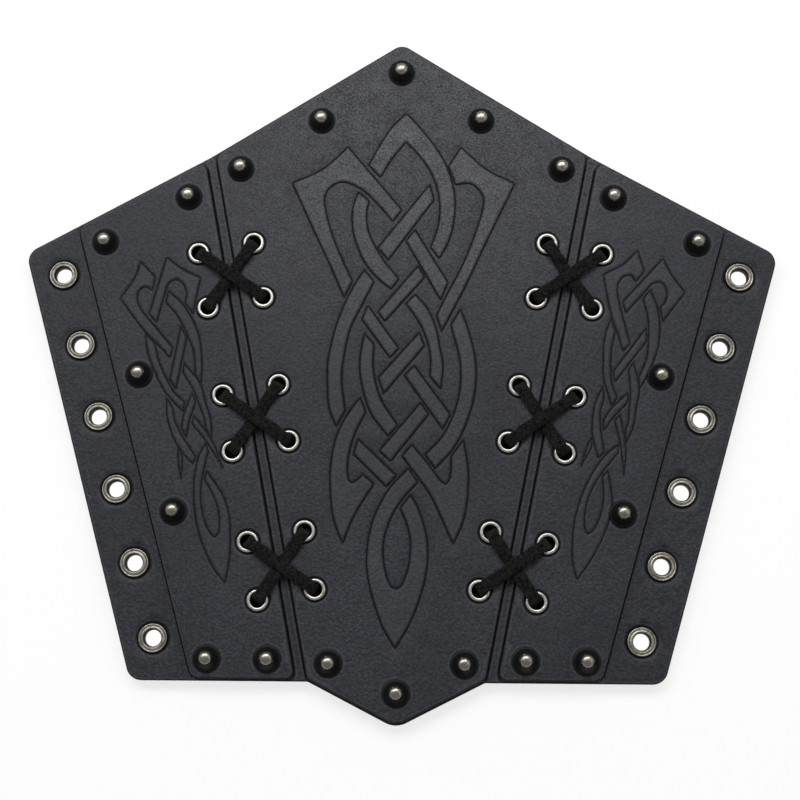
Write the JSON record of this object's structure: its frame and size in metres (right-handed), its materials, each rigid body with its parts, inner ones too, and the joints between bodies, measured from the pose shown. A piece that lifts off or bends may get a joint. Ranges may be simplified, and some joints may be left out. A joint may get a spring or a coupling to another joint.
{
  "type": "bracer",
  "caption": "Flat leather forearm bracer with a point at each end, lace-joined plates over a base sheet, cone studs, engraved knotwork and eyelet rows for closing it.",
  "frame": {"origin": "centre of the bounding box on the back of the lining, where the bracer rests", "axes": "+X across the forearm to the right of the face, +Y along the arm towards the elbow point, +Z out of the face"},
  "size_m": [0.2568, 0.2352, 0.0114],
  "materials": {
    "base_leather": "matt charcoal vegetable-tanned leather, pebbled grain",
    "plate_leather": "charcoal leather with cloudy wax pull-up and pressed knotwork lines",
    "lining_fabric": "light grey plain weave over thin padding",
    "black_metal": "polished black nickel, tips worn bright",
    "screw_steel": "turned steel",
    "eyelet_nickel": "old nickel with dark edges",
    "grommet_nickel": "antiqued nickel, warm and worn",
    "lace_leather": "flat black suede lace, matt and slightly fuzzy"
  },
  "bodies": {
    "centre": {"base_centre": "base_leather", "centre_plate": "plate_leather", "lining_centre": "lining_fabric", "centre_studs": "black_metal", "centre_stud_screws": "screw_steel", "centre_eyelets": "eyelet_nickel", "centre_eyelet_washers": "eyelet_nickel", "left_lace": "lace_leather", "right_lace": "lace_leather"},
    "left_wing": {"base_left": "base_leather", "left_plate": "plate_leather", "lining_left": "lining_fabric", "left_studs": "black_metal", "left_stud_screws": "screw_steel", "left_eyelets": "eyelet_nickel", "left_eyelet_washers": "eyelet_nickel"},
    "right_wing": {"base_right": "base_leather", "right_plate": "plate_leather", "lining_right": "lining_fabric", "right_studs": "black_metal", "right_stud_screws": "screw_steel", "right_eyelets": "eyelet_nickel", "right_eyelet_washers": "eyelet_nickel"},
    "left_margin": {"base_left_margin": "base_leather", "lining_left_margin": "lining_fabric", "left_grommets": "grommet_nickel", "left_grommet_washers": "grommet_nickel"},
    "right_margin": {"base_right_margin": "base_leather", "lining_right_margin": "lining_fabric", "right_grommets": "grommet_nickel", "right_grommet_washers": "grommet_nickel"}
  },
  "joints": [
    {"name": "left_seam_fold", "type": "hinge", "parent": "centre", "child": "left_wing", "pos_m": [-0.031, -0.1037, 0.0028], "axis": [0.1925, -0.9813, 0], "range_deg": [0, 70], "deforming": ["left_lace"]},
    {"name": "right_seam_fold", "type": "hinge", "parent": "centre", "child": "right_wing", "pos_m": [0.031, -0.1037, 0.0028], "axis": [0.1925, 0.9813, 0], "range_deg": [0, 70], "deforming": ["right_lace"]},
    {"name": "left_margin_fold", "type": "hinge", "parent": "left_wing", "child": "left_margin", "pos_m": [-0.06731, -0.1037, 0.0028], "axis": [0.2762, -0.9611, 0], "range_deg": [0, 60]},
    {"name": "right_margin_fold", "type": "hinge", "parent": "right_wing", "child": "right_margin", "pos_m": [0.06731, -0.1037, 0.0028], "axis": [0.2762, 0.9611, 0], "range_deg": [0, 60]}
  ]
}
